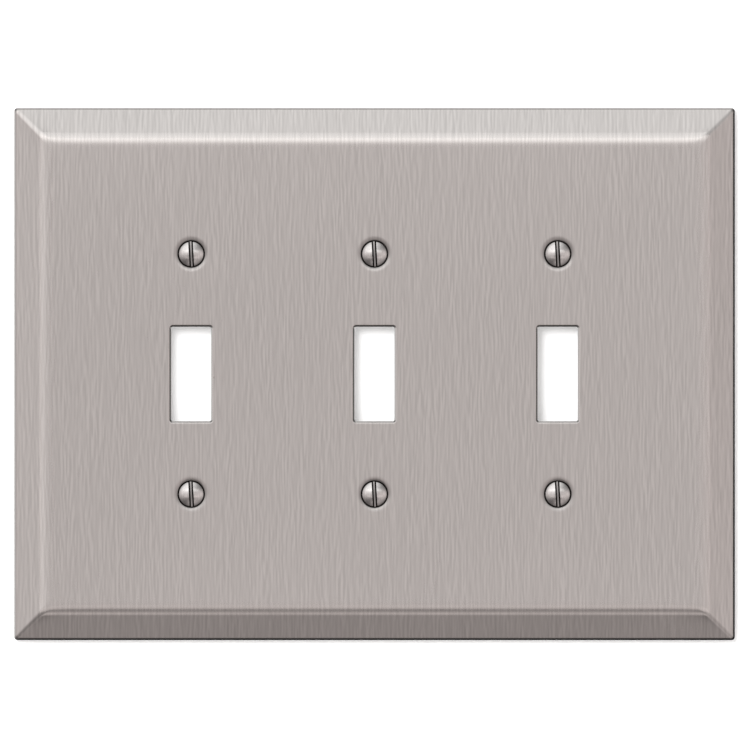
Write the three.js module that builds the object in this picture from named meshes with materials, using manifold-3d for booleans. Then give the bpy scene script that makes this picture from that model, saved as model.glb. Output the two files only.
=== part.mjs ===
// A three-gang cover plate for toggle switches, pressed from sheet steel, with its six oval-head screws.
// Millimetres, +Z up. The face looks along -Y, the rim lies in the wall plane y = 0, and the origin is
// the middle of the plate in that plane.

import * as THREE from 'three';
import { mergeVertices } from 'three/addons/utils/BufferGeometryUtils.js';
import Module from 'manifold-3d';

// Plate
const plateWidth = 181.2;
const plateHeight = 133.8;
const plateDepth = 5.6;
const sheetThickness = 0.9;
const bevelWidth = 7.4; // from the side of the plate to the ridge round the face
const skirtHeight = 1.5; // the straight side that stands on the wall
const ridgeRadius = 3.0;
const edgeRadius = 1.1; // where the bevel turns into the skirt
const cornerRadius = 0.8; // corners of the plate, seen from the front

// Switch spacing, the same for every toggle switch
const gangCount = 3;
const gangPitch = 46.04;
const screwSpacing = 60.33; // between the upper and the lower screw of one switch
const toggleWidth = 10.35;
const toggleHeight = 24.0;
const toggleCornerRadius = 0.7;

// Screw, number 6 with an 82 degree oval head
const headDiameter = 6.35;
const headDome = 1.1; // height of the oval top over the head's edge
const headLand = 0.12; // straight edge between the dome and the cone
const coneAngle = 82;
const shankDiameter = 3.5;
const screwLength = 15.9; // from the head's edge to the tip
const tipChamfer = 0.6;
const slotWidth = 1.0;
const slotDepth = 1.25; // from the top of the dome
const slotTilt = 3; // degrees off upright, the lower end towards +X

// Screw seat, a funnel pressed into the sheet
const headSink = 0.3; // the head's edge below the face
const seatClearance = 0.3; // round the head and its cone
const shankClearance = 0.35; // round the shank in the funnel's hole
const lipWidth = 0.8; // rounded lip round the funnel's mouth
const funnelWall = 0.6;
const funnelLand = 0.15; // straight stretch at the bottom of the funnel

const cutOver = 1; // how far a cutting body runs past what it cuts
const arcDivisions = 2; // a fillet has twice as many facets
const roundFacets = 24;

const wasm = await Module();
wasm.setup();

function toSolid(geometry) {
  const positionsOnly = geometry.clone();
  positionsOnly.deleteAttribute('normal');
  positionsOnly.deleteAttribute('uv');
  const merged = mergeVertices(positionsOnly, 1e-5);
  const corners = merged.index.array;
  const triangles = [];
  for (let i = 0; i < corners.length; i += 3) {
    const [a, b, c] = corners.slice(i, i + 3);
    if (a !== b && b !== c && c !== a) {
      triangles.push(a, b, c);
    }
  }
  const mesh = new wasm.Mesh({
    numProp: 3,
    vertProperties: new Float32Array(merged.attributes.position.array),
    triVerts: new Uint32Array(triangles),
  });
  return new wasm.Manifold(mesh);
}

function toGeometry(solid) {
  const mesh = solid.getMesh();
  const geometry = new THREE.BufferGeometry();
  geometry.setAttribute('position', new THREE.BufferAttribute(mesh.vertProperties, 3));
  geometry.setIndex(new THREE.BufferAttribute(mesh.triVerts, 1));
  geometry.computeVertexNormals();
  return geometry;
}

// A closed outline through [x, y, filletRadius] corners; a corner without a radius stays sharp.
function filletedShape(corners) {
  const shape = new THREE.Shape();
  corners.forEach(([x, y, radius = 0], i) => {
    const corner = new THREE.Vector2(x, y);
    if (radius === 0) {
      if (i === 0) {
        shape.moveTo(x, y);
      } else {
        shape.lineTo(x, y);
      }
      return;
    }
    const before = corners.at(i - 1);
    const after = corners[(i + 1) % corners.length];
    const toBefore = new THREE.Vector2(before[0], before[1]).sub(corner).normalize();
    const toAfter = new THREE.Vector2(after[0], after[1]).sub(corner).normalize();
    const halfAngle = Math.acos(toBefore.dot(toAfter)) / 2;
    const start = corner.clone().addScaledVector(toBefore, radius / Math.tan(halfAngle));
    const end = corner.clone().addScaledVector(toAfter, radius / Math.tan(halfAngle));
    const toCentre = toBefore.clone().add(toAfter).normalize();
    const centre = corner.clone().addScaledVector(toCentre, radius / Math.sin(halfAngle));
    const startAngle = Math.atan2(start.y - centre.y, start.x - centre.x);
    const endAngle = Math.atan2(end.y - centre.y, end.x - centre.x);
    const clockwise = toBefore.cross(toAfter) > 0;
    if (i === 0) {
      shape.moveTo(start.x, start.y);
    } else {
      shape.lineTo(start.x, start.y);
    }
    shape.absarc(centre.x, centre.y, radius, startAngle, endAngle, clockwise);
  });
  shape.closePath();
  return shape;
}

function extruded(shape, length) {
  return new THREE.ExtrudeGeometry(shape, {
    depth: length,
    bevelEnabled: false,
    curveSegments: arcDivisions,
  });
}

function roundedRectangle(width, height, radius) {
  return filletedShape([
    [-width / 2, -height / 2, radius],
    [width / 2, -height / 2, radius],
    [width / 2, height / 2, radius],
    [-width / 2, height / 2, radius],
  ]);
}

// The front-to-back section of the pan across one of its spans. inset 0 gives the outer surface, and
// the sheet's thickness gives the inner one, parallel to it all the way.
function panSection(span, inset) {
  const bevelAngle = Math.atan2(plateDepth - skirtHeight, bevelWidth);
  const side = span / 2 - inset;
  const edgeY = -skirtHeight + inset * Math.tan(Math.PI / 4 - bevelAngle / 2);
  const ridge = span / 2 - bevelWidth - inset * Math.tan(bevelAngle / 2);
  const frontY = -plateDepth + inset;
  const rimY = inset > 0 ? cutOver : 0;
  const edgeFillet = Math.max(edgeRadius - inset, 0);
  const ridgeFillet = Math.max(ridgeRadius - inset, 0);
  return filletedShape([
    [-side, rimY],
    [-side, edgeY, edgeFillet],
    [-ridge, frontY, ridgeFillet],
    [ridge, frontY, ridgeFillet],
    [side, edgeY, edgeFillet],
    [side, rimY],
  ]);
}

// Two crossing prisms meet in the mitred corners of the pan.
function panBody(inset) {
  const acrossWidth = extruded(panSection(plateWidth, inset), plateHeight);
  acrossWidth.translate(0, 0, -plateHeight / 2);
  const acrossHeight = extruded(panSection(plateHeight, inset), plateWidth);
  acrossHeight.translate(0, 0, -plateWidth / 2);
  acrossHeight.rotateY(-Math.PI / 2);
  return toSolid(acrossWidth).intersect(toSolid(acrossHeight));
}

// An outline drawn as seen from the front, run through the plate from behind the wall plane.
function throughPlate(shape) {
  const geometry = extruded(shape, plateDepth + 2 * cutOver);
  geometry.rotateX(Math.PI / 2);
  geometry.translate(0, cutOver, 0);
  return toSolid(geometry);
}

// A body turned about the Y axis from [radius, y] points that start and end on that axis.
function turned(points) {
  const profile = points.map(([radius, y]) => new THREE.Vector2(radius, y));
  return new THREE.LatheGeometry(profile, roundFacets);
}

const coneRatio = Math.tan(THREE.MathUtils.degToRad(coneAngle / 2)); // radius lost per depth
const headRadius = headDiameter / 2;
const shankRadius = shankDiameter / 2;
const faceY = -plateDepth;
const headEdgeY = faceY + headSink;
const seatRadius = headRadius + seatClearance;
const holeRadius = shankRadius + shankClearance;
const holeY = headEdgeY + headLand + (seatRadius - holeRadius) / coneRatio;
const funnelEndY = holeY + funnelLand;

function funnelBody() {
  const bottomRadius = holeRadius + funnelWall;
  const topY = faceY + sheetThickness / 2;
  const topRadius = bottomRadius + (funnelEndY - topY) * coneRatio;
  return toSolid(turned([
    [0, topY],
    [topRadius, topY],
    [bottomRadius, funnelEndY],
    [0, funnelEndY],
  ]));
}

function funnelCut() {
  const lipRadius = seatRadius + lipWidth;
  return toSolid(turned([
    [0, faceY - cutOver],
    [lipRadius, faceY - cutOver],
    [lipRadius, faceY],
    [seatRadius + lipWidth / 3, faceY + headSink / 2],
    [seatRadius, headEdgeY],
    [seatRadius, headEdgeY + headLand],
    [holeRadius, holeY],
    [holeRadius, funnelEndY + cutOver],
    [0, funnelEndY + cutOver],
  ]));
}

// Places of the switches and their screws on the plate
const columns = [];
for (let i = 0; i < gangCount; i += 1) {
  columns.push({ x: (i - (gangCount - 1) / 2) * gangPitch, name: ['left', 'middle', 'right'][i] });
}
const rows = [
  { z: screwSpacing / 2, name: 'top' },
  { z: -screwSpacing / 2, name: 'bottom' },
];

function wallPlate() {
  let plate = panBody(0).intersect(throughPlate(roundedRectangle(plateWidth, plateHeight, cornerRadius)));
  plate = plate.subtract(panBody(sheetThickness));
  for (const column of columns) {
    const toggle = throughPlate(roundedRectangle(toggleWidth, toggleHeight, toggleCornerRadius));
    plate = plate.subtract(toggle.translate([column.x, 0, 0]));
    for (const row of rows) {
      plate = plate.add(funnelBody().translate([column.x, 0, row.z]));
      plate = plate.subtract(funnelCut().translate([column.x, 0, row.z]));
    }
  }
  return toGeometry(plate);
}

// The screw stands on its own axis with the head's edge at y = 0 and its tip along +Y.
function coverScrew() {
  const coneEndY = headLand + (headRadius - shankRadius) / coneRatio;
  const domeRadius = (headRadius ** 2 + headDome ** 2) / (2 * headDome);
  const domeAngle = Math.asin(headRadius / domeRadius);
  const domeFacets = 4;
  const profile = [];
  for (let i = 0; i <= domeFacets; i += 1) {
    const angle = (domeAngle * i) / domeFacets;
    profile.push([domeRadius * Math.sin(angle), domeRadius * (1 - Math.cos(angle)) - headDome]);
  }
  profile.push([headRadius, headLand]);
  profile.push([shankRadius, coneEndY]);
  profile.push([shankRadius, screwLength - tipChamfer]);
  profile.push([shankRadius - tipChamfer, screwLength]);
  profile.push([0, screwLength]);
  const slot = new THREE.BoxGeometry(slotWidth, slotDepth + cutOver, headDiameter + 2 * cutOver);
  slot.translate(0, (slotDepth - cutOver) / 2 - headDome, 0);
  return toGeometry(toSolid(turned(profile)).subtract(toSolid(slot)));
}

const part = new THREE.Group();

const plateMetal = new THREE.MeshStandardMaterial({ color: 0xaaa29f, roughness: 0.42, metalness: 1 });
const plate = new THREE.Mesh(wallPlate(), plateMetal);
plate.name = 'wall_plate';
part.add(plate);

const screwGeometry = coverScrew();
for (const row of rows) {
  for (const column of columns) {
    const screwMetal = new THREE.MeshStandardMaterial({ color: 0xc9c3c0, roughness: 0.28, metalness: 1 });
    const screw = new THREE.Mesh(screwGeometry, screwMetal);
    screw.name = `cover_screw_${row.name}_${column.name}`;
    screw.position.set(column.x, headEdgeY, row.z);
    screw.rotation.y = -THREE.MathUtils.degToRad(slotTilt);
    part.add(screw);
  }
}

export default part;
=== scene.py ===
from math import atan2, copysign, cos, exp, pi, radians, sin, tan

import bmesh
import bpy
from mathutils import Matrix, Vector
from mathutils.geometry import delaunay_2d_cdt


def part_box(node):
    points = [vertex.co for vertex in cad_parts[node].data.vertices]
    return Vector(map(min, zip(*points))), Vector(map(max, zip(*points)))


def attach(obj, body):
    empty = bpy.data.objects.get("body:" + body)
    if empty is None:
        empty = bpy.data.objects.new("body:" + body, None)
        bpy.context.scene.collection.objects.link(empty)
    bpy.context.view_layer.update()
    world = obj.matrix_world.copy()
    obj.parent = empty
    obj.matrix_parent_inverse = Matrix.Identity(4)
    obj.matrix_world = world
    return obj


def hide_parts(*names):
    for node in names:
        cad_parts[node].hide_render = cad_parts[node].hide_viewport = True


# Metres, +Z up. The face looks along -Y, and the rim of the plate stands on the wall plane y = 0.
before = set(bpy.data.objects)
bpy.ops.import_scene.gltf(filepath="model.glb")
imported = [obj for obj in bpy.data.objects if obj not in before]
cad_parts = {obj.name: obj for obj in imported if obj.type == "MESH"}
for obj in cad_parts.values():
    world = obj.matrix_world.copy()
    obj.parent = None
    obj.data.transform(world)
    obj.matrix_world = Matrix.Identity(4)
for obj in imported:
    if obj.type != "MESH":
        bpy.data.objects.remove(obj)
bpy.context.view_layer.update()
mm = 0.001
screwNames = [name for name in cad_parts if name.startswith("cover_screw")]
print("frame loaded:", len(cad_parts), "nodes")


class Wire:
    # an output socket that ordinary maths works on
    def __init__(self, graph, socket):
        self.graph = graph
        self.socket = socket

    def maths(self, operation, *values):
        return self.graph.node("ShaderNodeMath", {"operation": operation}, dict(enumerate(values)))

    def __add__(self, other):
        return self.maths("ADD", self, other)

    def __radd__(self, other):
        return self.maths("ADD", other, self)

    def __sub__(self, other):
        return self.maths("SUBTRACT", self, other)

    def __rsub__(self, other):
        return self.maths("SUBTRACT", other, self)

    def __mul__(self, other):
        return self.maths("MULTIPLY", self, other)

    def __rmul__(self, other):
        return self.maths("MULTIPLY", other, self)

    def clamped(self):
        return self.graph.node("ShaderNodeClamp", {}, {"Value": self})

    def exponential(self):
        return self.maths("EXPONENT", self)

    def absolute(self):
        return self.maths("ABSOLUTE", self)

    def ramp(self, low, high):
        # 0 below low, 1 above high, smooth between
        return self.graph.node(
            "ShaderNodeMapRange",
            {"interpolation_type": "SMOOTHSTEP"},
            {"Value": self, "From Min": low, "From Max": high},
        )


class Graph:
    # makes and links the nodes of one material or world
    def __init__(self, tree):
        self.tree = tree
        self.tree.nodes.clear()

    def node(self, kind, settings, inputs, output=0):
        made = self.tree.nodes.new(kind)
        for name, value in settings.items():
            setattr(made, name, value)
        for name, value in inputs.items():
            if isinstance(value, Wire):
                self.tree.links.new(value.socket, made.inputs[name])
            else:
                made.inputs[name].default_value = value
        return Wire(self, made.outputs[output]) if made.outputs else None

    def vector(self, operation, a, b, output=0):
        return self.node("ShaderNodeVectorMath", {"operation": operation}, {0: a, 1: b}, output)

    def stretched(self, coordinates, factors):
        return self.vector("MULTIPLY", coordinates, factors)

    def part(self, coordinates, axis):
        return self.node("ShaderNodeSeparateXYZ", {}, {"Vector": coordinates}, "XYZ".index(axis))

    def noise(self, coordinates, scale, detail=2.0, roughness=0.5):
        return self.node(
            "ShaderNodeTexNoise",
            {"noise_dimensions": "3D"},
            {"Vector": coordinates, "Scale": scale, "Detail": detail, "Roughness": roughness},
        )

    def blend(self, mask, first, second):
        # colours: first where the mask is 0, second where it is 1
        mix = self.tree.nodes.new("ShaderNodeMix")
        mix.data_type = "RGBA"
        for index, value in ((0, mask), (6, first), (7, second)):
            if isinstance(value, Wire):
                self.tree.links.new(value.socket, mix.inputs[index])
            else:
                mix.inputs[index].default_value = value
        return Wire(self, mix.outputs[2])


def newMaterial(name):
    material = bpy.data.materials.new(name)
    material.use_nodes = True
    return material, Graph(material.node_tree)


def finishMetal(graph, colour, roughness, height, settings):
    # one metal shader from its varying colour, roughness and surface height
    bump = graph.node(
        "ShaderNodeBump", {}, {"Strength": 1.0, "Distance": settings["grainDepth"], "Height": height}
    )
    shader = graph.node(
        "ShaderNodeBsdfPrincipled",
        {"distribution": "MULTI_GGX"},
        {
            "Base Color": colour,
            "Roughness": roughness,
            "Metallic": settings["metallic"],
            "Anisotropic": settings["anisotropy"],
            "Normal": bump,
        },
    )
    graph.node("ShaderNodeOutputMaterial", {}, {"Surface": shader})


def objectPlace(graph):
    return graph.node("ShaderNodeTexCoord", {}, {}, 3)


def paint(graph, name):
    # a painted mesh attribute, as a number
    return graph.node("ShaderNodeAttribute", {"attribute_name": name}, {}, 2)


def rgba(colour, level=1.0):
    return (colour[0] * level, colour[1] * level, colour[2] * level, 1.0)


def toned(graph, mask, finish):
    # the dark tone of the finish where the mask is 0, the light one where it is 1
    dark = rgba(finish["colour"], finish["darkLevel"])
    light = rgba(finish["colour"], finish["lightLevel"])
    return graph.blend(mask, dark, light)


brushedFinish = {
    "colour": (0.600, 0.574, 0.557),
    "darkLevel": 0.90,
    "lightLevel": 1.08,
    "wearAndHighlightLevel": 1.25,  # rubbed ridges and edges, with a painted highlight on the ridges
    "wearAndHighlightCover": 0.6,
    "dimpleShadeLevel": 0.22,  # painted shade round the screws, in the dimples
    "roughness": 0.31,
    "roughnessSwing": 0.04,
    "wornRoughness": 0.10,
    "tone": 0.49,
    "toneEdges": (0.30, 0.70),
    "hairContrast": 0.35,
    "bandContrast": 0.50,  # what the stronger bands add to the hairlines
    "cloudContrast": 0.06,
    "hairScale": 2600,
    "hairPitch": 0.5 * mm,  # from a bright hairline to the dark one beside it
    "grainScale": 1500,
    "bandScale": 420,
    "cloudScale": 18,
    "hairStretch": (1.0, 0.05, 0.06),
    "grainStretch": (1.0, 0.05, 0.16),
    "bandStretch": (1.0, 0.10, 0.12),
    "hairRelief": 0.6,
    "grainRelief": 0.4,
    "grainDepth": 0.0012 * mm,
    "anisotropy": 0.75,
    "metallic": 1.0,
}


def brushedNickel(finish):
    # vertical hairlines; above 0 the paint rubs the metal bright, as wear and as a painted highlight on
    # the ridges, and below 0 it lays painted shade round the screws
    material, graph = newMaterial("brushedNickel")
    place = objectPlace(graph)
    hair = graph.noise(graph.stretched(place, finish["hairStretch"]), finish["hairScale"], 1.0)
    beside = graph.vector("ADD", place, (finish["hairPitch"], 0.0, 0.0))
    shade = graph.noise(graph.stretched(beside, finish["hairStretch"]), finish["hairScale"], 1.0)
    grain = graph.noise(graph.stretched(place, finish["grainStretch"]), finish["grainScale"], 1.0)
    band = graph.noise(graph.stretched(place, finish["bandStretch"]), finish["bandScale"], 2.0)
    cloud = graph.noise(place, finish["cloudScale"], 3.0)
    painted = paint(graph, "wearAndPaintedLight")
    wornAndHighlit = painted.clamped()
    shadeAmount = (0 - painted).clamped()
    contrast = finish["hairContrast"] + finish["bandContrast"] * band.ramp(0.35, 0.65)
    drift = finish["cloudContrast"] * (grain + band + cloud - 1.5)
    streak = finish["tone"] + (hair - shade) * contrast + drift
    colour = toned(graph, streak.ramp(*finish["toneEdges"]), finish)
    # lighter where rubbed, and a painted highlight along the ridges
    colour = graph.blend(wornAndHighlit * finish["wearAndHighlightCover"], colour, rgba(finish["colour"], finish["wearAndHighlightLevel"]))
    # painted shade round the screws, from the paint below 0
    colour = graph.blend(shadeAmount, colour, rgba(finish["colour"], finish["dimpleShadeLevel"]))
    swing = (0.55 * grain + 0.45 * cloud).ramp(0.25, 0.75) - 0.5
    roughness = finish["roughness"] + swing * (2 * finish["roughnessSwing"])
    roughness = roughness + wornAndHighlit * (finish["wornRoughness"] - finish["roughness"])
    height = finish["hairRelief"] * (hair - shade) + finish["grainRelief"] * grain
    finishMetal(graph, colour, roughness, height, finish)
    return material


backFinish = {
    "colour": (0.52, 0.50, 0.485),
    "darkLevel": 0.82,
    "lightLevel": 1.05,
    "roughness": 0.50,
    "mottleSwing": 0.22,  # of the roughness
    "speckSwing": 0.10,
    "grainDepth": 0.006 * mm,
    "anisotropy": 0.2,
    "metallic": 0.45,
    "speckScale": 900,
    "mottleScale": 60,
    "rollScale": 420,
    "rollStretch": (0.04, 1.0, 1.0),
}


def backNickel(finish):
    # the unbrushed side: dull plating over rolled sheet
    material, graph = newMaterial("backNickel")
    place = objectPlace(graph)
    speck = graph.noise(place, finish["speckScale"], 3.0, 0.6)
    mottle = graph.noise(place, finish["mottleScale"], 4.0, 0.55)
    rolled = graph.noise(graph.stretched(place, finish["rollStretch"]), finish["rollScale"], 2.0)
    colour = toned(graph, (0.4 * mottle + 0.3 * speck + 0.3 * rolled).ramp(0.32, 0.68), finish)
    roughness = finish["roughness"] + (mottle - 0.5) * finish["mottleSwing"]
    roughness = roughness + (speck - 0.5) * finish["speckSwing"]
    finishMetal(graph, colour, roughness, 0.6 * speck + 0.4 * rolled, finish)
    return material


edgeFinish = {
    "colour": (0.56, 0.52, 0.50),
    "darkLevel": 0.70,
    "lightLevel": 1.05,
    "roughness": 0.40,
    "roughnessSwing": 0.2,
    "grainDepth": 0.010 * mm,
    "anisotropy": 0.0,
    "metallic": 0.9,
    "shearScale": 2600,
    "shearStretch": (1.0, 0.10, 1.0),
    "patchScale": 390,
}


def shearedNickel(finish):
    # punched and trimmed edges, with marks that run through the sheet
    material, graph = newMaterial("shearedNickel")
    place = objectPlace(graph)
    shear = graph.noise(graph.stretched(place, finish["shearStretch"]), finish["shearScale"], 2.0)
    patch = graph.noise(place, finish["patchScale"], 3.0)
    colour = toned(graph, (0.6 * shear + 0.4 * patch).ramp(0.3, 0.7), finish)
    roughness = finish["roughness"] + (shear - 0.5) * finish["roughnessSwing"]
    finishMetal(graph, colour, roughness, shear, finish)
    return material


recessShadeFinish = {
    # near black: painted shade down the funnel
    "colour": (0.035, 0.030, 0.028),
    "darkLevel": 0.6,
    "lightLevel": 1.3,
    "roughness": 0.60,
    "roughnessSwing": 0.3,
    "grainDepth": 0.012 * mm,
    "anisotropy": 0.0,
    "metallic": 0.5,
    "recessMottleScale": 1800,
}


def recessPaintedShade(finish):
    # down the screw funnels: unpolished, and near black with painted shade in the gap round the head
    material, graph = newMaterial("recessPaintedShade")
    recessMottle = graph.noise(objectPlace(graph), finish["recessMottleScale"], 3.0, 0.6)
    colour = toned(graph, recessMottle.ramp(0.35, 0.65), finish)
    roughness = finish["roughness"] + (recessMottle - 0.5) * finish["roughnessSwing"]
    finishMetal(graph, colour, roughness, recessMottle, finish)
    return material


screwFinish = {
    "colour": (0.67, 0.648, 0.635),
    "darkLevel": 0.80,
    "lightLevel": 1.08,
    # near black, for the painted shade
    "paintedShadeColour": (0.015, 0.013, 0.012),
    "roughness": 0.20,
    "scratchSwing": 0.16,  # of the roughness
    "smudgeSwing": 0.10,
    "shadeRoughness": 0.28,  # added where the painted shade is
    "grainDepth": 0.014 * mm,
    "anisotropy": 0.55,
    "metallic": 1.0,
    "scratchScale": 2100,
    "scratchStretch": (1.0, 1.0, 0.16),
    "hairScale": 5200,
    "hairStretch": (1.0, 1.0, 0.08),
    "smudgeScale": 420,
    "thinShadeHalf": 0.19 * mm,  # the painted shade is thin this far from the middle of the slot, and full beyond
    "thinShadeBlend": 0.03 * mm,
    "floorShade": 0.40,
}


def screwNickel(finish):
    # bright plating with fine scratches, and painted shade in the slot, under the head and in the
    # thread's roots
    material, graph = newMaterial("screwNickel")
    place = objectPlace(graph)
    scratch = graph.noise(
        graph.stretched(place, finish["scratchStretch"]), finish["scratchScale"], 3.0, 0.6
    )
    hair = graph.noise(graph.stretched(place, finish["hairStretch"]), finish["hairScale"], 1.0)
    smudge = graph.noise(place, finish["smudgeScale"], 3.0)
    colour = toned(graph, (0.5 * scratch + 0.2 * hair + 0.3 * smudge).ramp(0.3, 0.7), finish)
    # painted shade: full along the slot's walls, thinner on the middle of its floor
    aside = graph.part(place, "X").absolute().ramp(
        finish["thinShadeHalf"] - finish["thinShadeBlend"], finish["thinShadeHalf"] + finish["thinShadeBlend"]
    )
    shadeAmount = finish["floorShade"] + (1 - finish["floorShade"]) * aside
    paintedShade = (paint(graph, "paintedShade") * shadeAmount * (0.8 + smudge * 0.5)).clamped()
    colour = graph.blend(paintedShade, colour, rgba(finish["paintedShadeColour"]))
    roughness = finish["roughness"] + (scratch - 0.5) * finish["scratchSwing"]
    roughness = roughness + (smudge - 0.5) * finish["smudgeSwing"] + paintedShade * finish["shadeRoughness"]
    finishMetal(graph, colour, roughness, 0.7 * scratch + 0.3 * hair, finish)
    return material


plateMaterials = [
    brushedNickel(brushedFinish),
    backNickel(backFinish),
    shearedNickel(edgeFinish),
    recessPaintedShade(recessShadeFinish),
]
frontSide, backSide, cutSide, recessSide = range(4)
screwMaterial = screwNickel(screwFinish)
print("materials made")


weldReach = 0.00001 * mm  # points nearer than this are one


class MeshBuilder:
    # collects the points of one piece with their paint, and its faces with their material
    def __init__(self, paintName):
        self.points = []
        self.paints = []
        self.faces = []
        self.sides = []
        self.paintName = paintName

    def vertex(self, point, amount=0.0):
        self.points.append(point)
        self.paints.append(amount)
        return len(self.points) - 1

    def ring(self, points, amount=0.0):
        return [self.vertex(point, amount) for point in points]

    def bridge(self, first, second, side=0):
        # quads between two closed rings of the same count
        count = len(first)
        for i in range(count):
            after = (i + 1) % count
            self.face((first[i], first[after], second[after], second[i]), side)

    def face(self, corners, side=0):
        self.faces.append(tuple(corners))
        self.sides.append(side)

    def fan(self, middle, ring):
        # closes a ring with triangles round one point
        count = len(ring)
        for i in range(count):
            self.face((middle, ring[i], ring[(i + 1) % count]))

    def build(self, name, materials):
        mesh = bpy.data.meshes.new(name)
        mesh.from_pydata(self.points, [], self.faces)
        for material in materials:
            mesh.materials.append(material)
        mesh.polygons.foreach_set("material_index", self.sides)
        layer = mesh.attributes.new(self.paintName, "FLOAT", "POINT")
        layer.data.foreach_set("value", self.paints)
        tidy = bmesh.new()
        tidy.from_mesh(mesh)
        bmesh.ops.remove_doubles(tidy, verts=tidy.verts, dist=weldReach)
        bmesh.ops.recalc_face_normals(tidy, faces=tidy.faces)
        tidy.to_mesh(mesh)
        tidy.free()
        mesh.polygons.foreach_set("use_smooth", [True] * len(mesh.polygons))
        made = bpy.data.objects.new(name, mesh)
        bpy.context.scene.collection.objects.link(made)
        return made


farBehind = 10.0


def alignBrushing(mesh):
    # the shader's own tangent turns round this far point, so the brushing runs along Z everywhere
    mesh.use_auto_texspace = False
    mesh.texspace_location = (0.0, farBehind, 0.0)
    mesh.texspace_size = (1.0, 1.0, 1.0)


def roundedRectangle(halfWidth, halfHeight, radius, steps, centre=(0.0, 0.0)):
    # x, z points round a rectangle; steps = (across, up, corner)
    points = []
    quarters = ((1, 1), (-1, 1), (-1, -1), (1, -1))
    for i, (signX, signZ) in enumerate(quarters):
        middle = Vector((signX * (halfWidth - radius), signZ * (halfHeight - radius)))
        for k in range(steps[2] + 1):
            angle = (i + k / steps[2]) * pi / 2
            points.append(middle + radius * Vector((cos(angle), sin(angle))))
        nextX, nextZ = quarters[(i + 1) % 4]
        target = Vector((nextX * (halfWidth - radius), nextZ * (halfHeight - radius)))
        endAngle = (i + 1) * pi / 2
        start = points[-1]
        end = target + radius * Vector((cos(endAngle), sin(endAngle)))
        pieces = steps[0] if i % 2 == 0 else steps[1]
        for k in range(1, pieces):
            points.append(start.lerp(end, (1 - cos(pi * k / pieces)) / 2))  # closer near the corners
    return [(p.x + centre[0], p.y + centre[1]) for p in points]


def circle(radius, count, centre):
    return [
        (centre[0] + radius * cos(2 * pi * k / count), centre[1] + radius * sin(2 * pi * k / count))
        for k in range(count)
    ]


def atDepth(outline, y):
    return [(x, y, z) for x, z in outline]


plateShape = {
    "sheet": 0.9 * mm,
    "bevelWidth": 7.4 * mm,
    "skirtHeight": 1.5 * mm,
    "skirtWear": 0.15,
    "ridgeWidth": 4.0 * mm,
    "ridgeEase": 2.3,  # above 1, the ridge turns quickly at the bevel and slowly on the face
    "ridgeWearAndHighlight": 0.30,
    "edgeRadius": 1.4 * mm,
    "edgeWear": (1.0, 0.3),  # at the skirt and at the bevel
    "cornerRadius": 0.8 * mm,
    "innerCornerRadius": 0.3 * mm,
    "ridgeCornerRadius": 1.3 * mm,
    "faceReach": 2.4 * mm,  # a band of rings on the face, next to the ridge
    "flare": (0.20 * mm, 0.45 * mm),  # the drawn ridge bends outwards near its corners, along X and Z
    "flareReach": 2.4 * mm,
    "flareSpread": 2.2 * mm,
    "rimRound": 0.10 * mm,
    "toggleWidth": 10.05 * mm,
    "toggleHeight": 23.70 * mm,
    "toggleCorner": 0.45 * mm,
    "toggleRound": 0.22 * mm,  # rolled-in front edge of the punched openings
    "toggleDraft": radians(57),  # tilt of the steep stretch behind the roll
    "toggleDraftWidth": 0.40 * mm,
    "toggleRestShare": 0.08,  # of that stretch, left to the punched wall
    "margin": 0.35 * mm,  # flat ring on the face round every opening and seat
    "burr": 0.06 * mm,
    "headRadius": 3.175 * mm,
    "headSink": 0.3 * mm,
    "headLand": 0.12 * mm,
    "seatClearance": 0.3 * mm,
    "coneAngle": radians(82),
    "shankRadius": 1.75 * mm,
    "shankClearance": 0.35 * mm,
    "funnelWall": 0.6 * mm,
    "funnelLand": 0.15 * mm,
    "funnelBlend": 0.45 * mm,  # where its outside runs into the back of the sheet
    "funnelFoot": 0.15 * mm,
    "dimpleRadius": 4.65 * mm,
    "dimpleSink": 0.17 * mm,
    "dimpleEase": 2.2,
    # painted shade in the dimple round each seat
    "dimpleShade": 0.68,
    "dimpleShadeEase": 1.6,
    "dimpleLip": 0.04 * mm,
    "breakEdge": 0.05 * mm,  # small chamfers at the end of the funnel
    "ringSteps": (60, 44, 6),
    "toggleSteps": (10, 18, 8),
    "seatSteps": 64,
    "facePitch": 3.0 * mm,
}

plateLow, plateHigh = (Vector(corner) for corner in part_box("wall_plate"))
halfWidth = (plateHigh.x - plateLow.x) / 2
halfHeight = (plateHigh.z - plateLow.z) / 2
faceY = plateLow.y
screwPlaces = {}
for name in screwNames:
    low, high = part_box(name)
    screwPlaces[name] = ((low[0] + high[0]) / 2, (low[2] + high[2]) / 2)
columns = sorted({round(x, 5) for x, z in screwPlaces.values()})


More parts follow.
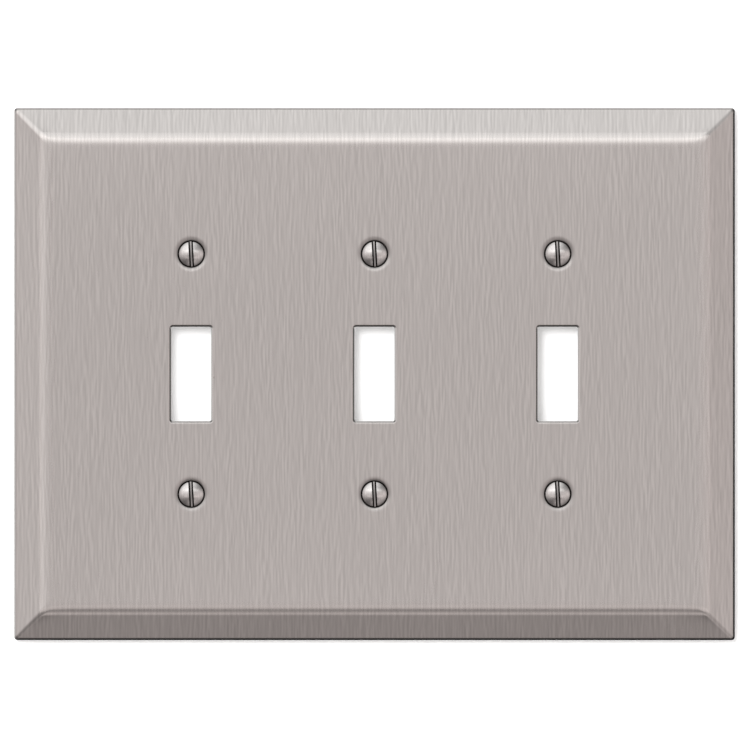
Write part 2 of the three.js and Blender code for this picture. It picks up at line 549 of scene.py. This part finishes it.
def sectionRows(shape):
    # (inset from the side, y, tilt of the outward normal from straight forward, wear with a painted
    # highlight on the ridge)
    depth = -faceY
    bevelTilt = atan2(depth - shape["skirtHeight"], shape["bevelWidth"])
    edgeReach = shape["edgeRadius"] * tan((pi / 2 - bevelTilt) / 2)
    skirtTop = -(shape["skirtHeight"] - edgeReach)
    rows = [(0.0, skirtTop * share, pi / 2, shape["skirtWear"]) for share in (0.12, 0.5)]
    edgeSteps = 10
    skirtEndWear, bevelEndWear = shape["edgeWear"]
    for k in range(edgeSteps + 1):
        tilt = pi / 2 + (bevelTilt - pi / 2) * k / edgeSteps
        inset = shape["edgeRadius"] * (1 - sin(tilt))
        wearAndPaintedLight = skirtEndWear + (bevelEndWear - skirtEndWear) * k / edgeSteps
        rows.append((inset, skirtTop - shape["edgeRadius"] * cos(tilt), tilt, wearAndPaintedLight))
    bevelStart = rows[-1]
    ridge = ridgeRows(shape, bevelTilt)
    bevelEnd = ridge[0]
    for share in (0.02, 0.06, 0.15, 0.3, 0.5, 0.7, 0.8, 0.88, 0.94, 0.98):  # closer at both ends
        inset = bevelStart[0] + (bevelEnd[0] - bevelStart[0]) * share
        y = bevelStart[1] + (bevelEnd[1] - bevelStart[1]) * share
        rows.append((inset, y, bevelTilt, 0.0))
    rows += ridge
    faceSteps = 8
    for k in range(1, faceSteps + 1):
        reach = shape["faceReach"] * (k / faceSteps) ** 1.5
        rows.append((ridge[-1][0] + reach, faceY, 0.0, 0.0))
    return rows


def ridgeRows(shape, bevelTilt):
    # the ridge between bevel and face, whose tilt eases out to none
    steps = 24
    width = shape["ridgeWidth"]
    tilts = [bevelTilt * (1 - k / steps) ** shape["ridgeEase"] for k in range(steps + 1)]
    drops = [0.0]
    for before, after in zip(tilts, tilts[1:]):
        drops.append(drops[-1] + width / steps * tan((before + after) / 2))
    start = shape["bevelWidth"] - drops[-1] / tan(bevelTilt)
    rows = []
    for k, (tilt, drop) in enumerate(zip(tilts, drops)):
        # the ridge's paint is wear and a painted highlight
        wearAndPaintedLight = 0.05 + shape["ridgeWearAndHighlight"] * sin(pi * (k / steps) ** 0.66)  # most on the bevel's side
        rows.append((start + width * k / steps, faceY + drops[-1] - drop, tilt, wearAndPaintedLight))
    return rows


def flared(outline, inset, shape):
    # the outline of one ring, with its corners pushed out where it runs near the ridge
    near = exp(-(((inset - shape["bevelWidth"]) / shape["flareSpread"]) ** 2))
    reach = shape["flareReach"]
    flareX, flareZ = shape["flare"]
    points = []
    for x, z in outline:
        shortX = halfWidth - inset - abs(x)
        shortZ = halfHeight - inset - abs(z)
        push = near * exp(-(max(0.0, shortX) + max(0.0, shortZ)) / reach)
        outX = push * flareX * max(0.0, 1 - shortX / reach)
        outZ = push * flareZ * max(0.0, 1 - shortZ / reach)
        points.append((x + copysign(outX, x), z + copysign(outZ, z)))
    return points


def addPan(builder, shape):
    # the outer and inner skins of skirt, bevel and ridge; gives back their last rings
    rows = sectionRows(shape)
    lastInset = rows[-1][0]
    outerRings = []
    innerRings = []
    for inset, y, tilt, wearAndPaintedLight in rows:
        share = inset / lastInset
        corner = shape["cornerRadius"] + (shape["ridgeCornerRadius"] - shape["cornerRadius"]) * share
        outline = roundedRectangle(halfWidth - inset, halfHeight - inset, corner, shape["ringSteps"])
        outerRings.append(builder.ring(atDepth(flared(outline, inset, shape), y), wearAndPaintedLight))
        innerInset = inset + shape["sheet"] * sin(tilt)
        innerY = y + shape["sheet"] * cos(tilt)
        inside = shape["innerCornerRadius"] * (1 - share) + shape["ridgeCornerRadius"] * share
        outline = roundedRectangle(
            halfWidth - innerInset, halfHeight - innerInset, inside, shape["ringSteps"]
        )
        innerRings.append(builder.ring(atDepth(flared(outline, innerInset, shape), innerY)))
    for first, second in zip(outerRings, outerRings[1:]):
        builder.bridge(first, second, frontSide)
    for first, second in zip(innerRings, innerRings[1:]):
        builder.bridge(first, second, backSide)
    addRim(builder, shape, outerRings[0], innerRings[0])
    return outerRings[-1], innerRings[-1]


def addRim(builder, shape, outerRing, innerRing):
    # the trimmed edge of the sheet, which stands on the wall, with its corners broken
    small = shape["rimRound"]
    rings = [outerRing]
    insets = [
        (small * 0.3, -small * 0.3, 0.8),
        (small, 0.0, 0.5),
        (shape["sheet"] - small, 0.0, 0.3),
        (shape["sheet"] - small * 0.3, -small * 0.3, 0.3),
    ]
    for inset, y, wearAndPaintedLight in insets:
        share = inset / shape["sheet"]
        corner = shape["cornerRadius"] * (1 - share) + shape["innerCornerRadius"] * share
        outline = roundedRectangle(halfWidth - inset, halfHeight - inset, corner, shape["ringSteps"])
        rings.append(builder.ring(atDepth(outline, y), wearAndPaintedLight))
    rings.append(innerRing)
    for first, second in zip(rings, rings[1:]):
        builder.bridge(first, second, cutSide)


def addToggleOpening(builder, shape, x):
    # rolled front edge, punched wall and a small burr behind; gives back its rings on face and back
    radius = shape["toggleRound"]
    draft = shape["toggleDraft"]
    draftWidth = shape["toggleDraftWidth"]
    roll = radius * sin(draft) + draftWidth
    backY = faceY + shape["sheet"]
    burr = shape["burr"]

    def outline(grow):
        return roundedRectangle(
            shape["toggleWidth"] / 2 + grow,
            shape["toggleHeight"] / 2 + grow,
            shape["toggleCorner"] + grow,
            shape["toggleSteps"],
            (x, 0.0),
        )

    rolls = 8
    profile = [(roll + shape["margin"], faceY, 0.0, frontSide)]
    for k in range(rolls + 1):
        tilt = draft * k / rolls
        wearAndPaintedLight = k / rolls
        profile.append((roll - radius * sin(tilt), faceY + radius * (1 - cos(tilt)), wearAndPaintedLight, frontSide))
    rollY = faceY + radius * (1 - cos(draft))
    steepY = rollY + draftWidth * tan(draft)
    rest = shape["toggleRestShare"]
    profile.append((draftWidth * rest, rollY + (steepY - rollY) * (1 - rest), 1.0, frontSide))
    profile.append((0.0, (steepY + backY) / 2, 0.0, cutSide))
    profile.append((0.0, backY, 0.0, cutSide))
    profile.append((burr * 0.4, backY + burr, 0.3, cutSide))
    profile.append((burr * 2.0, backY + burr * 0.4, 0.0, cutSide))
    profile.append((burr * 4.0, backY, 0.0, backSide))
    profile.append((roll, backY, 0.0, backSide))
    rings = [builder.ring(atDepth(outline(grow), y), wearAndPaintedLight) for grow, y, wearAndPaintedLight, side in profile]
    bridgeProfile(builder, rings, profile)
    return rings[0], rings[-1]


def bridgeProfile(builder, rings, profile):
    # each strip takes the side of the profile's row that ends it
    for i in range(len(rings) - 1):
        builder.bridge(rings[i], rings[i + 1], profile[i + 1][3])


def seatProfile(shape):
    # (radius, y, paint, side) from the face down the funnel, round its end and up behind; the paint is
    # painted shade in the dimple, and none elsewhere
    ratio = tan(shape["coneAngle"] / 2)
    seat = shape["headRadius"] + shape["seatClearance"]
    hole = shape["shankRadius"] + shape["shankClearance"]
    edgeY = faceY + shape["headSink"]
    coneY = edgeY + shape["headLand"]
    holeY = coneY + (seat - hole) / ratio
    endY = holeY + shape["funnelLand"]
    backY = faceY + shape["sheet"]
    profile = [(shape["dimpleRadius"] + shape["margin"], faceY, 0.0, frontSide)]
    steps = 10
    for k in range(steps + 1):
        share = k / steps
        radius = shape["dimpleRadius"] + (seat - shape["dimpleRadius"]) * share
        sink = shape["dimpleSink"] * share ** shape["dimpleEase"]
        # painted shade, deeper towards the seat, stored as negative paint
        shadeStrength = shape["dimpleShade"] * share ** shape["dimpleShadeEase"]
        profile.append((radius, faceY + sink, -shadeStrength, frontSide))
    lip = shape["dimpleLip"]
    chamfer = shape["breakEdge"]
    profile.append((seat - lip, faceY + shape["dimpleSink"] + lip, 0.0, recessSide))
    profile.append((seat - chamfer, coneY, 0.0, recessSide))
    profile.append((hole + 2 * chamfer, holeY - 2 * chamfer / ratio, 0.0, recessSide))
    profile.append((hole, holeY, 0.0, recessSide))
    profile.append((hole, endY - chamfer, 0.0, recessSide))
    profile.append((hole + chamfer, endY, 0.0, cutSide))
    outside = hole + shape["funnelWall"]
    profile.append((outside - 2.4 * chamfer, endY, 0.0, cutSide))
    profile.append((outside, endY - 1.8 * chamfer, 0.0, backSide))
    outerAtBack = outside + (endY - backY) * ratio
    blend = shape["funnelBlend"]
    foot = shape["dimpleRadius"] + shape["funnelFoot"]
    profile.append((outerAtBack - blend * ratio, backY + blend, 0.0, backSide))
    blendSteps = 5
    for k in range(1, blendSteps + 1):
        share = k / blendSteps
        radius = outerAtBack - blend * ratio * (1 - share) ** 2 + (foot - outerAtBack) * share ** 2
        profile.append((radius, backY + blend * (1 - share) ** 2, 0.0, backSide))
    return profile


def addScrewSeat(builder, shape, centre):
    profile = seatProfile(shape)
    rings = []
    for radius, y, wearAndPaintedLight, side in profile:
        rings.append(builder.ring(atDepth(circle(radius, shape["seatSteps"], centre), y), wearAndPaintedLight))
    bridgeProfile(builder, rings, profile)
    return rings[0], rings[-1]


def outlineOf(builder, ring):
    return [(builder.points[i][0], builder.points[i][2]) for i in ring]


def fillFace(builder, ring, holes, y, side, pitch):
    # even triangles between an outer ring and its holes, on a grid of inner points
    loops = [ring] + holes
    flat = []
    edges = []
    owners = []
    for loop in loops:
        start = len(flat)
        for i, index in enumerate(loop):
            flat.append(Vector((builder.points[index][0], builder.points[index][2])))
            owners.append(index)
            edges.append((start + i, start + (i + 1) % len(loop)))
    outlines = [outlineOf(builder, hole) for hole in holes]
    boxes = []
    for outline in outlines:
        xs = [p[0] for p in outline]
        zs = [p[1] for p in outline]
        boxes.append((min(xs), max(xs), min(zs), max(zs)))
    limitX = max(builder.points[i][0] for i in ring) - pitch * 0.6
    limitZ = max(builder.points[i][2] for i in ring) - pitch * 0.6
    countX = int(limitX / pitch)
    countZ = int(limitZ / pitch)
    near = pitch * 0.35
    for i in range(-countX, countX + 1):
        for k in range(-countZ, countZ + 1):
            x = limitX * i / countX
            z = limitZ * k / countZ
            if any(a - near < x < b + near and c - near < z < d + near for a, b, c, d in boxes):
                continue
            flat.append(Vector((x, z)))
            owners.append(builder.vertex((x, y, z)))
    points, _, triangles, origins, _, _ = delaunay_2d_cdt(flat, edges, [], 1, 1e-9)
    for triangle in triangles:
        middle = sum((points[i] for i in triangle), Vector((0, 0))) / 3
        if any(insideOutline(middle, outline) for outline in outlines):
            continue
        builder.face([owners[origins[i][0]] for i in triangle], side)


def insideOutline(point, outline):
    inside = False
    for (x1, z1), (x2, z2) in zip(outline, outline[1:] + outline[:1]):
        if (z1 > point.y) != (z2 > point.y):
            if point.x < (x2 - x1) * (point.y - z1) / (z2 - z1) + x1:
                inside = not inside
    return inside


def wallPlate(shape):
    builder = MeshBuilder("wearAndPaintedLight")
    outerRing, innerRing = addPan(builder, shape)
    frontHoles = []
    backHoles = []
    for x in columns:
        front, back = addToggleOpening(builder, shape, x)
        frontHoles.append(front)
        backHoles.append(back)
    for centre in screwPlaces.values():
        front, back = addScrewSeat(builder, shape, centre)
        frontHoles.append(front)
        backHoles.append(back)
    fillFace(builder, outerRing, frontHoles, faceY, frontSide, shape["facePitch"])
    fillFace(builder, innerRing, backHoles, faceY + shape["sheet"], backSide, shape["facePitch"])
    return builder.build("steelPlate", plateMaterials)


plate = wallPlate(plateShape)
alignBrushing(plate.data)
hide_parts("wall_plate")
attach(plate, "plate")
print("plate made:", len(plate.data.polygons), "faces")


screwShape = {
    "headRadius": plateShape["headRadius"],
    "headDome": 1.1 * mm,
    "headLand": plateShape["headLand"],
    "headSoft": 0.02 * mm,  # broken edges of the head
    "coneAngle": plateShape["coneAngle"],
    "shankRadius": plateShape["shankRadius"],
    "rootRadius": 1.27 * mm,
    "threadPitch": 0.794 * mm,
    "threadFlank": 2.9,  # steepness of the flanks
    "threadCrest": 1.25,  # above 1, the crest is flat
    "threadFade": 1.2,  # pitches over which the thread grows out of the neck
    # painted shade in the thread's roots
    "rootShade": 0.8,
    "length": 15.9 * mm,
    "tipLength": 1.0 * mm,
    "tipThreadLoss": 0.75,
    "tipTaper": 0.42 * mm,
    "plainNeck": 1.9 * mm,  # from the head's edge down to the first thread
    "neckFill": 0.95,  # of the thread's depth
    "slotWidth": 1.18 * mm,
    "slotDepth": 1.25 * mm,
    "slotRound": 0.06 * mm,
    "slotTilt": radians(3),
    "slotShadeStart": 0.045 * mm,  # below the dome, where the slot's painted shade begins
    "headSteps": 72,
    "domeRows": 16,
    "threadSteps": 40,
    "rowsPerPitch": 9,
}


def headMesh(shape):
    # domed countersunk head, as a closed lathe body that ends inside the shank
    builder = MeshBuilder("paintedShade")
    ratio = tan(shape["coneAngle"] / 2)
    radius = shape["headRadius"]
    dome = shape["headDome"]
    land = shape["headLand"]
    soft = shape["headSoft"]
    shank = shape["shankRadius"]
    domeRadius = (radius ** 2 + dome ** 2) / (2 * dome)
    domeAngle = atan2(radius, domeRadius - dome)
    profile = []
    for k in range(1, shape["domeRows"]):
        angle = domeAngle * k / shape["domeRows"] * 0.985  # stops short of the head's soft edge
        profile.append((domeRadius * sin(angle), domeRadius * (1 - cos(angle)) - dome))
    profile.append((radius - soft, -0.75 * soft))
    profile.append((radius, 1.5 * soft))
    profile.append((radius, land - soft))
    profile.append((radius - 1.5 * soft, land + soft))
    coneEnd = land + (radius - shank) / ratio
    profile.append((shank + 2.5 * soft, coneEnd - 2 * soft))
    profile.append((shank - soft, coneEnd + 1.5 * soft))
    profile.append((shank - soft, shape["plainNeck"] + 0.3 * mm))  # overlaps the thread's start
    rings = []
    for ringRadius, y in profile:
        rings.append(builder.ring(atDepth(circle(ringRadius, shape["headSteps"], (0, 0)), y)))
    for first, second in zip(rings, rings[1:]):
        builder.bridge(first, second)
    builder.fan(builder.vertex((0, -dome, 0)), rings[0])
    builder.fan(builder.vertex((0, profile[-1][1], 0)), rings[-1])
    return builder.build("screwHead", [screwMaterial])


def cutSlot(head, shape):
    # the straight slot, with its edges just broken
    reach = shape["headRadius"] * 2.6
    half = shape["slotWidth"] / 2
    floorY = shape["slotDepth"] - shape["headDome"]
    topY = -shape["headDome"] * 2
    cutter = MeshBuilder("paintedShade")
    section = [(-half, topY), (half, topY), (half, floorY), (-half, floorY)]
    ends = [cutter.ring([(x, y, z) for x, y in section], 1.0) for z in (-reach, reach)]
    cutter.bridge(*ends)
    for end in ends:
        cutter.face(end)
    tool = cutter.build("slotCutter", [])
    cut = head.modifiers.new("slot", "BOOLEAN")
    cut.operation = "DIFFERENCE"
    cut.solver = "EXACT"
    cut.object = tool
    soften = head.modifiers.new("edges", "BEVEL")
    soften.width = shape["slotRound"]
    soften.segments = 3
    soften.limit_method = "ANGLE"
    soften.angle_limit = radians(38)
    soften.harden_normals = False
    bakeModifiers(head)
    bpy.data.objects.remove(tool)


def bakeModifiers(piece):
    shown = piece.evaluated_get(bpy.context.evaluated_depsgraph_get())
    baked = bpy.data.meshes.new_from_object(shown)
    piece.modifiers.clear()
    old = piece.data
    piece.data = baked
    bpy.data.meshes.remove(old)


def clipped(value):
    return max(0.0, min(1.0, value))


def threadMesh(shape):
    # rolled thread: the radius follows a helix, and fades out at the neck and the tip
    builder = MeshBuilder("paintedShade")
    start = shape["plainNeck"]
    end = shape["length"]
    rowHeight = shape["threadPitch"] / shape["rowsPerPitch"]
    rowCount = int((end - start) / rowHeight)
    depth = shape["shankRadius"] - shape["rootRadius"]
    rings = []
    for row in range(rowCount + 1):
        y = start + (end - start) * row / rowCount
        fadeIn = clipped((y - start) / (shape["threadFade"] * shape["threadPitch"]))
        tip = clipped((y - (end - shape["tipLength"])) / shape["tipLength"])
        ring = []
        for k in range(shape["threadSteps"]):
            turn = k / shape["threadSteps"]
            phase = (y / shape["threadPitch"] + turn) % 1.0
            ridge = clipped(shape["threadCrest"] - abs(phase - 0.5) * shape["threadFlank"])
            root = shape["rootRadius"] + depth * (1 - fadeIn) * shape["neckFill"]
            rise = (shape["shankRadius"] - root) * ridge * (1 - shape["tipThreadLoss"] * tip)
            radius = root + rise - shape["tipTaper"] * tip ** 2
            angle = 2 * pi * turn
            # painted shade in the roots, where the thread is low
            paintedShade = (1 - ridge) * fadeIn * shape["rootShade"]
            ring.append(builder.vertex((radius * cos(angle), y, radius * sin(angle)), paintedShade))
        rings.append(ring)
    for first, second in zip(rings, rings[1:]):
        builder.bridge(first, second)
    builder.fan(builder.vertex((0, start, 0)), rings[0])
    builder.fan(builder.vertex((0, end, 0)), rings[-1])
    return builder.build("screwThread", [screwMaterial])


def paintShade(head, shape):
    # painted shade in the slot, which the finish thins on the middle of its floor, and under the head's
    # edge
    values = head.data.attributes["paintedShade"].data
    headRadius = shape["headRadius"]
    soft = shape["headSoft"]
    slotX = shape["slotWidth"] / 2 + 0.25 * soft
    for vertex, value in zip(head.data.vertices, values):
        x, y, z = vertex.co
        dome = (1 - (x ** 2 + z ** 2) / headRadius ** 2) * shape["headDome"]
        inSlot = abs(x) < slotX and y > shape["slotShadeStart"] - dome
        value.value = 1.0 if inSlot or y > soft else 0.0


def joined(pieces, name):
    shared = bmesh.new()
    for piece in pieces:
        shared.from_mesh(piece.data)
        bpy.data.objects.remove(piece)
    mesh = bpy.data.meshes.new(name)
    shared.to_mesh(mesh)
    shared.free()
    mesh.materials.append(screwMaterial)
    return mesh


head = headMesh(screwShape)
cutSlot(head, screwShape)
paintShade(head, screwShape)
thread = threadMesh(screwShape)
screwMesh = joined([head, thread], "coverScrew")
screwMesh.polygons.foreach_set("use_smooth", [True] * len(screwMesh.polygons))
alignBrushing(screwMesh)
headEdgeY = faceY + plateShape["headSink"]
slotTurn = Matrix.Rotation(-screwShape["slotTilt"], 4, "Y")
for name, (x, z) in screwPlaces.items():
    screw = bpy.data.objects.new(name.replace("cover_screw", "nickelScrew"), screwMesh.copy())
    bpy.context.scene.collection.objects.link(screw)
    screw.matrix_world = Matrix.Translation((x, headEdgeY, z)) @ slotTurn
    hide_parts(name)
    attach(screw, name)
print("screws made:", len(screwNames), "of", len(screwMesh.polygons), "faces")


stageShape = {
    "reach": 0.8,  # from the middle to each side and to the top
    "wallY": 3.0 * mm,
    "wallGlow": 0.25,
    "wallColour": (0.80, 0.80, 0.80),
    "floorDrop": 0.16,  # below the middle of the plate
    "floorDepth": 1.2,
    "floorColour": (0.86, 0.86, 0.85),
    "flagY": 0.03 * mm,
    "flagOverlap": 0.3 * mm,  # how far a flag runs in behind the rim
    "flagInset": 0.5 * mm,  # its ends, off the corners of the plate
    "flagColour": (0.004, 0.004, 0.004),
}


def stagePanel(name, corners, material):
    # one flat four-cornered piece of the surroundings, kept out of the metal's reflections
    mesh = bpy.data.meshes.new(name)
    mesh.from_pydata(corners, [], [(0, 1, 2, 3)])
    mesh.materials.append(material)
    panel = bpy.data.objects.new(name, mesh)
    bpy.context.scene.collection.objects.link(panel)
    panel.visible_glossy = False
    return panel


def wallPaint(shape):
    # white, a little self-lit, and only there from the front
    material, graph = newMaterial("wallPaint")
    matt = graph.node("ShaderNodeBsdfDiffuse", {}, {"Color": rgba(shape["wallColour"])})
    glow = graph.node("ShaderNodeEmission", {}, {"Color": (1, 1, 1, 1), "Strength": shape["wallGlow"]})
    lit = graph.node("ShaderNodeAddShader", {}, {0: matt, 1: glow})
    clear = graph.node("ShaderNodeBsdfTransparent", {}, {})
    behind = graph.node("ShaderNodeNewGeometry", {}, {}, 6)
    surface = graph.node("ShaderNodeMixShader", {}, {0: behind, 1: lit, 2: clear})
    graph.node("ShaderNodeOutputMaterial", {}, {"Surface": surface})
    return material


def mattPaint(name, colour):
    material, graph = newMaterial(name)
    matt = graph.node("ShaderNodeBsdfDiffuse", {}, {"Color": rgba(colour)})
    graph.node("ShaderNodeOutputMaterial", {}, {"Surface": matt})
    return material


def uprightCorners(left, right, low, high, y):
    return [(left, y, low), (right, y, low), (right, y, high), (left, y, high)]


def addFlags(shape, drop):
    # black cards at the right of the plate and below it, which only its reflections show
    cloth = mattPaint("flagCloth", shape["flagColour"])
    overlap = shape["flagOverlap"]
    inset = shape["flagInset"]
    places = {
        "rightFlag": (halfWidth - overlap, shape["reach"], drop, halfHeight - inset),
        "lowerFlag": (-halfWidth + inset, halfWidth, drop, -halfHeight + overlap),
    }
    for name, sides in places.items():
        flag = stagePanel(name, uprightCorners(*sides, shape["flagY"]), cloth)
        flag.visible_glossy = True
        flag.visible_camera = False
        flag.visible_diffuse = False
        flag.visible_shadow = False


def addStage(shape):
    reach = shape["reach"]
    depth = shape["floorDepth"]
    drop = -shape["floorDrop"]
    stagePanel("wall", uprightCorners(-reach, reach, drop, reach, shape["wallY"]), wallPaint(shape))
    addFlags(shape, drop)
    stagePanel(
        "floor",
        [(-reach, -depth, drop), (reach, -depth, drop), (reach, depth, drop), (-reach, depth, drop)],
        mattPaint("floorPaint", shape["floorColour"]),
    )


addStage(stageShape)

studio = {
    "base": 0.03,  # faint light from everywhere
    "backdrop": 1.05,  # what the camera sees past the wall
    "warmTint": (1.09, 1.0, 0.985),
    "coolTint": (1.0, 1.0, 1.0),
    "warmGlows": {  # direction, tightness, strength
        "left15": ((-0.259, -0.966, 0.0), 25.0, 0.20),
        "left30": ((-0.500, -0.866, 0.0), 12.0, 0.21),
        "left60": ((-0.866, -0.500, 0.0), 8.0, 0.45),
        "right15": ((0.259, -0.966, 0.0), 25.0, 0.33),
        "right30": ((0.500, -0.866, 0.0), 12.0, 0.17),
        "right60": ((0.866, -0.500, 0.0), 14.0, 0.66),
        "down45": ((0.0, -0.707, -0.707), 40.0, 0.42),
        "down60": ((0.0, -0.500, -0.866), 8.0, 0.24),
        "downRight45": ((0.500, -0.707, -0.500), 8.0, 0.38),
    },
    "coolGlows": {
        "up15": ((0.0, -0.966, 0.259), 25.0, 0.14),
        "up25": ((0.0, -0.906, 0.423), 30.0, 0.56),
        "up62": ((0.0, -0.469, 0.883), 9.0, 0.92),
        "upLeft45": ((-0.500, -0.707, 0.500), 8.0, 1.25),
        "upRight45": ((0.500, -0.707, 0.500), 8.0, 0.28),
        "behindLeft": ((-0.92, 0.40, 0.0), 8.0, 0.7),
        "behindTop": ((0.0, 0.40, 0.92), 8.0, 0.6),
        "behind": ((0.0, 1.0, 0.0), 10.0, 2.2),
        "behindRight": ((0.68, 0.68, -0.27), 30.0, 0.7),
    },
}


def lightWorld(settings):
    # soft glows round the object; the gaps between them are what its dark edges show
    world = bpy.data.worlds.new("studio")
    world.use_nodes = True
    graph = Graph(world.node_tree)
    direction = graph.node("ShaderNodeTexCoord", {}, {}, 0)

    def surround(tint, glows):
        total = settings["base"] / 2  # the two tints share it
        for toward, tightness, strength in glows.values():
            axis = tuple(Vector(toward).normalized())
            closeness = graph.vector("DOT_PRODUCT", direction, axis, 1)
            total = total + strength * ((closeness - 1) * tightness).exponential()
        return graph.node("ShaderNodeBackground", {}, {"Color": rgba(tint), "Strength": total})

    warm = surround(settings["warmTint"], settings["warmGlows"])
    cool = surround(settings["coolTint"], settings["coolGlows"])
    light = graph.node("ShaderNodeAddShader", {}, {0: warm, 1: cool})
    backdrop = {"Color": (1, 1, 1, 1), "Strength": settings["backdrop"]}
    white = graph.node("ShaderNodeBackground", {}, backdrop)
    seen = graph.node("ShaderNodeLightPath", {}, {}, 0)
    mixed = graph.node("ShaderNodeMixShader", {}, {0: seen, 1: light, 2: white})
    graph.node("ShaderNodeOutputWorld", {}, {"Surface": mixed})
    bpy.context.scene.world = world


lightWorld(studio)

softboxes = {
    "browPanel": {
        "at": (0.0, -0.45, 0.170),
        "size": (0.8, 0.13),
        "power": 0.124,
        "tint": (1.01, 1.0, 0.985),
    },
    "sillPanel": {
        "at": (0.0, -0.45, -0.150),
        "size": (0.8, 0.10),
        "power": 0.060,
        "tint": (1.09, 1.0, 0.985),
    },
}


def aimAtMiddle(lamp, place):
    lamp.location = place
    lamp.rotation_euler = (-Vector(place)).to_track_quat("-Z", "Y").to_euler()
    lamp.visible_camera = False


def addSoftbox(name, box):
    # a long strip light whose reflection draws the bright line on a ridge
    light = bpy.data.lights.new(name, "AREA")
    light.shape = "RECTANGLE"
    light.size, light.size_y = box["size"]
    light.energy = box["power"]
    light.color = box["tint"]
    made = bpy.data.objects.new(name, light)
    bpy.context.scene.collection.objects.link(made)
    aimAtMiddle(made, box["at"])


for name, box in softboxes.items():
    addSoftbox(name, box)

shadowLamp = {
    "toward": (-0.17, -0.97, 0.17),
    "distance": 1.5,
    "size": 0.40,
    "power": 14.0,
}


def addShadowLamp(settings):
    # lights the wall and the floor from the upper left, and stays out of the metal's reflections
    light = bpy.data.lights.new("shadowLamp", "AREA")
    light.shape = "DISK"
    light.size = settings["size"]
    light.energy = settings["power"]
    made = bpy.data.objects.new("shadowLamp", light)
    bpy.context.scene.collection.objects.link(made)
    aimAtMiddle(made, Vector(settings["toward"]).normalized() * settings["distance"])
    made.visible_glossy = False


addShadowLamp(shadowLamp)

cameraView = {
    "lens": 1000.0,  # a long lens from far away, so the view is nearly parallel
    "sensor": 36.0,
    "frameWidth": 188.4 * mm,  # what the picture spans at the face
    "across": 0.13 * mm,
    "height": -0.25 * mm,
}
lens = bpy.data.cameras.new("camera")
lens.lens = cameraView["lens"]
lens.sensor_width = cameraView["sensor"]
camera = bpy.data.objects.new("camera", lens)
bpy.context.scene.collection.objects.link(camera)
distance = cameraView["frameWidth"] * cameraView["lens"] / cameraView["sensor"]
camera.location = (cameraView["across"], faceY - distance, cameraView["height"])
camera.rotation_euler = (pi / 2, 0.0, 0.0)
bpy.context.scene.camera = camera

bpy.context.scene.view_settings.view_transform = "Standard"
bpy.context.scene.view_settings.look = "None"
print("stage, light and camera made")
